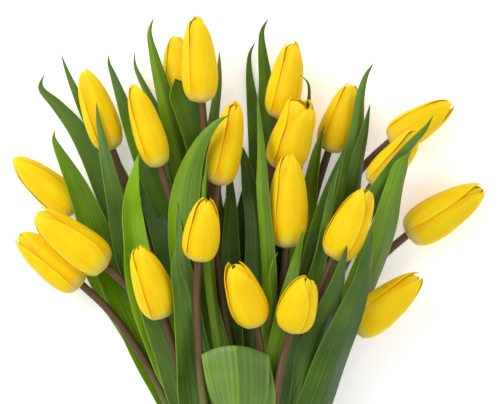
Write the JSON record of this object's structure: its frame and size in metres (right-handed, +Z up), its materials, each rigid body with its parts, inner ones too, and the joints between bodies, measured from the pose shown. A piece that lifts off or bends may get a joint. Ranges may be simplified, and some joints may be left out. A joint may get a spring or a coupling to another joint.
{
  "type": "bunch of tulips",
  "caption": "Loose bunch of cut yellow tulips lying on its side, the closed flowers fanned out on slender stems among long pointed green leaves.",
  "frame": {"origin": "centre of the bounding box in plan, on the table the bunch lies on", "axes": "+Y along the stems towards the flowers, +Z up off the table, +X across the fan of flowers"},
  "size_m": [0.3344, 0.4086, 0.0973],
  "materials": {
    "petal": "smooth waxy yellow petals with a soft sheen",
    "stem": "smooth stem, purple-brown under the flower and green below",
    "leaf": "waxy green leaf with fine lengthwise veins and a grey bloom"
  },
  "bodies": {
    "root": {"tulip_01_flower": "petal", "tulip_01_leaves_under": "leaf", "tulip_01_stem": "stem", "tulip_02_flower": "petal", "tulip_02_stem": "stem", "tulip_03_flower": "petal", "tulip_03_leaves_over": "leaf", "tulip_03_stem": "stem", "tulip_04_flower": "petal", "tulip_04_leaves_under": "leaf", "tulip_04_stem": "stem", "tulip_05_flower": "petal", "tulip_05_stem": "stem", "tulip_06_flower": "petal", "tulip_06_leaves_over": "leaf", "tulip_06_stem": "stem", "tulip_07_flower": "petal", "tulip_07_leaves_under": "leaf", "tulip_07_stem": "stem", "tulip_08_flower": "petal", "tulip_08_stem": "stem", "tulip_09_flower": "petal", "tulip_09_leaves_over": "leaf", "tulip_09_stem": "stem", "tulip_10_flower": "petal", "tulip_10_leaves_under": "leaf", "tulip_10_stem": "stem", "tulip_11_flower": "petal", "tulip_11_leaves_under": "leaf", "tulip_11_stem": "stem", "tulip_12_flower": "petal", "tulip_12_leaves_under": "leaf", "tulip_12_stem": "stem", "tulip_13_flower": "petal", "tulip_13_stem": "stem", "tulip_14_flower": "petal", "tulip_14_leaves_over": "leaf", "tulip_14_leaves_under": "leaf", "tulip_14_stem": "stem", "tulip_15_flower": "petal", "tulip_15_leaves_over": "leaf", "tulip_15_stem": "stem", "tulip_16_flower": "petal", "tulip_16_leaves_under": "leaf", "tulip_16_stem": "stem", "tulip_17_flower": "petal", "tulip_17_leaves_over": "leaf", "tulip_17_stem": "stem", "tulip_18_flower": "petal", "tulip_18_leaves_under": "leaf", "tulip_18_stem": "stem", "tulip_19_flower": "petal", "tulip_19_leaves_under": "leaf", "tulip_19_stem": "stem", "tulip_20_flower": "petal", "tulip_20_leaves_under": "leaf", "tulip_20_stem": "stem", "tulip_21_flower": "petal", "tulip_21_leaves_over": "leaf", "tulip_21_stem": "stem"}
  },
  "joints": []
}
